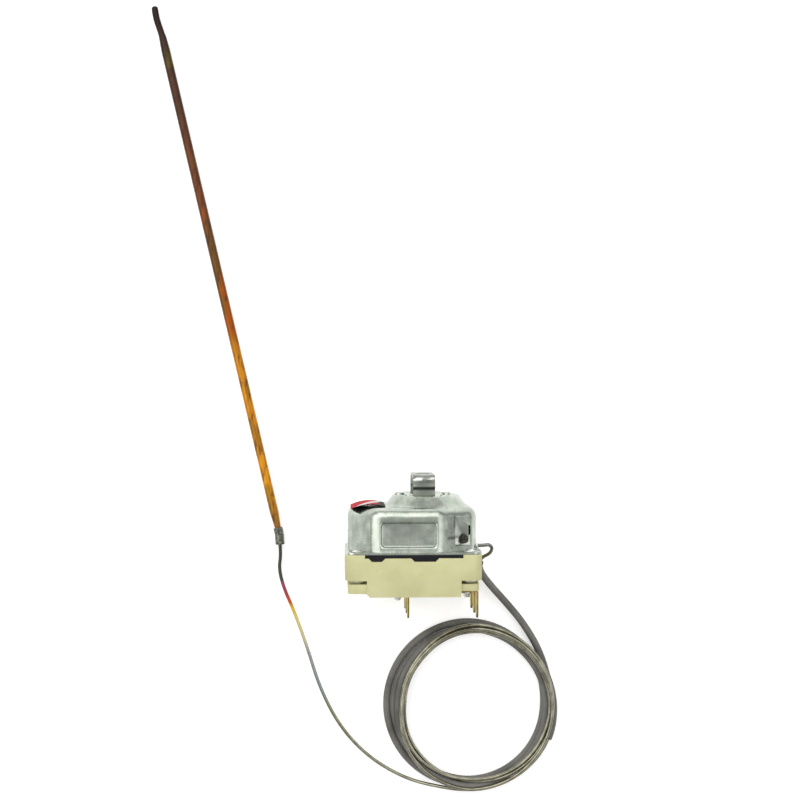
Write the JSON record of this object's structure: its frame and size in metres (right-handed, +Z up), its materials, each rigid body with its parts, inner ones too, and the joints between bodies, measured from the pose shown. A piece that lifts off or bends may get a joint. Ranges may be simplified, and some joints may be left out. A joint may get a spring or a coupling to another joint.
{
  "type": "capillary thermostat",
  "caption": "Three-pole capillary thermostat with a drawn steel cover on a ceramic base, blade terminals, a coiled capillary and a long slim bulb.",
  "frame": {"origin": "bottom centre of the thermostat's body as it lies on its back face, free capillary left out", "axes": "+Y out of the cover's raised top, +X towards the capillary's exit, +Z up from the surface it lies on"},
  "size_m": [0.1867, 0.3626, 0.046],
  "materials": {
    "ceramic": "unglazed cream steatite, matt",
    "black_plate": "pressed insulating board, dull black",
    "cover_steel": "bright zinc-plated drawn sheet",
    "rivet_steel": "plated rivet heads, satin",
    "bridge_steel": "bright zinc-plated strip",
    "label": "paper label with bare fields of red, white and dark brown",
    "dark_screw": "black screw",
    "mechanism_steel": "plain plated sheet and turned steel",
    "spring_steel": "drawn spring wire",
    "contact_metal": "silver contact faces",
    "contact_arm": "spring bronze strip",
    "brass": "bright stamped brass with bronze roots",
    "capillary": "drawn capillary tube with cream and olive shades",
    "sleeve": "dark grey glass-fibre sleeving",
    "bulb": "tube with heat tints from orange gold to dark brown"
  },
  "bodies": {
    "housing": {"ceramic_base": "ceramic", "insulating_plate": "black_plate", "steel_cover": "cover_steel", "cover_rivets": "rivet_steel", "bridge_bracket": "bridge_steel", "paper_label": "label", "pocket_screw": "dark_screw", "reset_spring": "spring_steel", "diaphragm_capsule": "mechanism_steel", "capsule_carrier": "mechanism_steel", "calibration_screw": "mechanism_steel", "pivot_bracket": "mechanism_steel", "lever_pin": "mechanism_steel", "fixed_contacts": "contact_metal", "centre_rivets": "rivet_steel", "side_rivets": "rivet_steel", "centre_terminal_1": "brass", "side_terminal_1": "brass", "centre_terminal_2": "brass", "side_terminal_2": "brass", "centre_terminal_3": "brass", "side_terminal_3": "brass", "capillary_gland": "rivet_steel", "capillary_inside": "capillary", "capillary_lead": "capillary", "sleeve_lead": "sleeve", "capillary_coil": "capillary", "capillary_tail": "capillary", "bulb_collar": "mechanism_steel", "bulb": "bulb"},
    "reset_button": {"reset_pin": "mechanism_steel"},
    "lever": {"trip_lever": "mechanism_steel"},
    "crosshead_bar": {"crosshead": "ceramic"},
    "contacts": {"contact_arm_1": "contact_arm", "contact_arm_2": "contact_arm", "contact_arm_3": "contact_arm", "moving_contacts": "contact_metal"}
  },
  "joints": [
    {"name": "reset_press", "type": "slide", "parent": "housing", "child": "reset_button", "axis": [0, -1, 0], "range_m": [0, 0.002], "stiffness_N_per_m": 250, "springref_m": -0.004, "deforming": ["reset_spring"]},
    {"name": "crosshead_lift", "type": "slide", "parent": "housing", "child": "crosshead_bar", "axis": [0, 1, 0], "range_m": [0, 0.0015], "stiffness_N_per_m": 200, "springref_m": -0.001},
    {"name": "trip", "type": "hinge", "parent": "housing", "child": "lever", "pos_m": [-0.005, 0.00065, 0.023], "axis": [0, 0, 1], "range_deg": [0, 8.62]},
    {"name": "contacts_open", "type": "hinge", "parent": "housing", "child": "contacts", "pos_m": [-0.0072, -0.0105, 0.023], "axis": [0, 0, 1], "range_deg": [0, 7.06]}
  ],
  "couplings": [
    {"joint": "trip", "follows": "crosshead_lift", "rad_per_m": 100},
    {"joint": "contacts_open", "follows": "crosshead_lift", "rad_per_m": 81.97}
  ]
}
